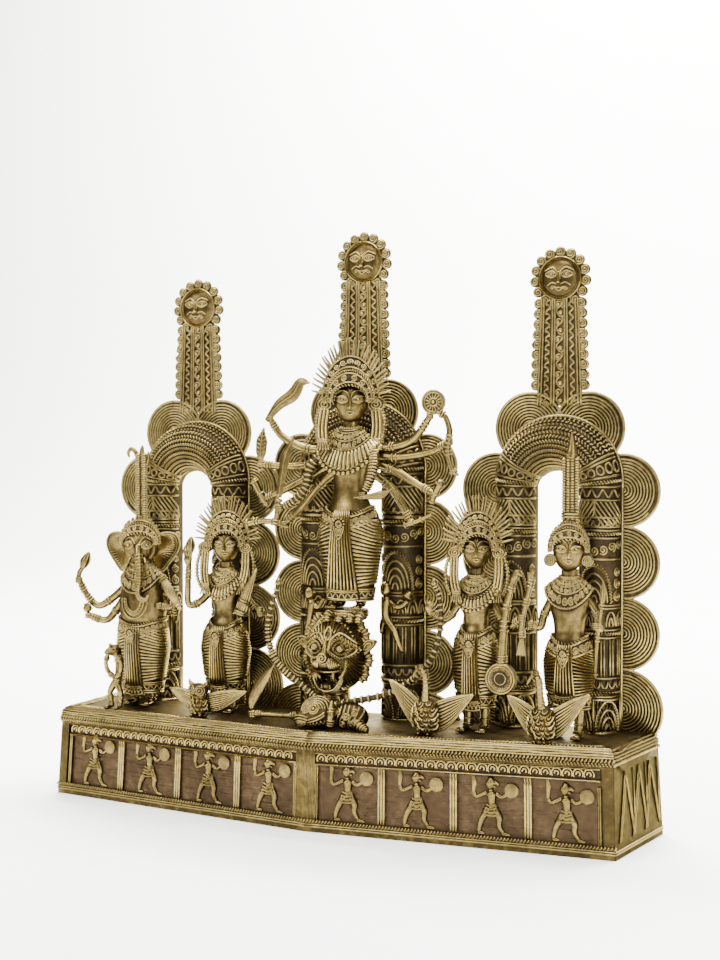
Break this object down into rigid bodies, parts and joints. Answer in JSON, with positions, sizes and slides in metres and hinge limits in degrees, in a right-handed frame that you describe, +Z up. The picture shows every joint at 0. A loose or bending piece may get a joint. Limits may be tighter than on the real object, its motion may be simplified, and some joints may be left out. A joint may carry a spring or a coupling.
{
  "type": "figures of south and southeast asia",
  "caption": "Cast brass altar group: many-armed goddess on a lion, smaller deities with their mounts, towered arches and a bow-fronted plinth.",
  "frame": {"origin": "middle of the plinth's flat underside, half way between its front bow and its back edge", "axes": "+X to the right of a viewer in front of the goddess, +Y to the back, +Z up"},
  "size_m": [0.633, 0.14, 0.5871],
  "materials": {
    "figure_brass": "cast, satin with worn highlights and dark dirt in the recesses",
    "arch_brass": "cast, satin, darker than the figures"
  },
  "bodies": {
    "root": {"plinth": "figure_brass", "arch_left": "arch_brass", "arch_centre": "arch_brass", "arch_right": "arch_brass", "durga": "figure_brass", "lion": "figure_brass", "buffalo": "figure_brass", "ganesha": "figure_brass", "mouse": "figure_brass", "lakshmi": "figure_brass", "owl": "figure_brass", "saraswati": "figure_brass", "swan": "figure_brass", "kartikeya": "figure_brass", "peacock": "figure_brass"}
  },
  "joints": []
}
